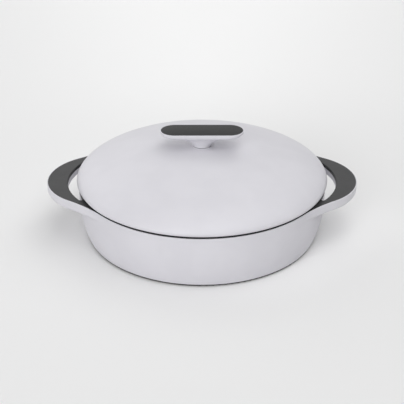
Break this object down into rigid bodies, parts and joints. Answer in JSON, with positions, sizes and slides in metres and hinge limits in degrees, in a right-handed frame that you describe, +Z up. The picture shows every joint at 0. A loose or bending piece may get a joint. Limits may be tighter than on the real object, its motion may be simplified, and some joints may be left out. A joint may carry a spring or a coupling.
{
  "type": "braiser",
  "caption": "Low round enamelled cooking pot with loop handles cast level with its rim and a domed lift-off lid with a bar knob.",
  "frame": {"origin": "centre of the base, on the surface that the pot stands on", "axes": "+Z up, +X through both loop handles, front of the pot towards -Y"},
  "size_m": [0.3806, 0.306, 0.1317],
  "materials": {
    "pale_enamel": "pale grey satin enamel on cast iron",
    "black_enamel": "black matt enamel",
    "knob_enamel": "pale grey satin enamel on cast iron",
    "knob_face": "black matt enamel",
    "seal": "dark silicone rubber",
    "steel": "stainless steel"
  },
  "bodies": {
    "pot": {"pot": "pale_enamel", "pot_black_enamel": "black_enamel"},
    "lid": {"lid": "pale_enamel", "lid_black_enamel": "black_enamel", "knob": "knob_enamel", "knob_black_face": "knob_face", "knob_gasket": "seal", "knob_washer": "steel", "knob_screw": "steel"}
  },
  "joints": [
    {"name": "lid_lift", "type": "slide", "parent": "pot", "child": "lid", "axis": [0, 0, 1], "range_m": [0, 0.12]}
  ]
}
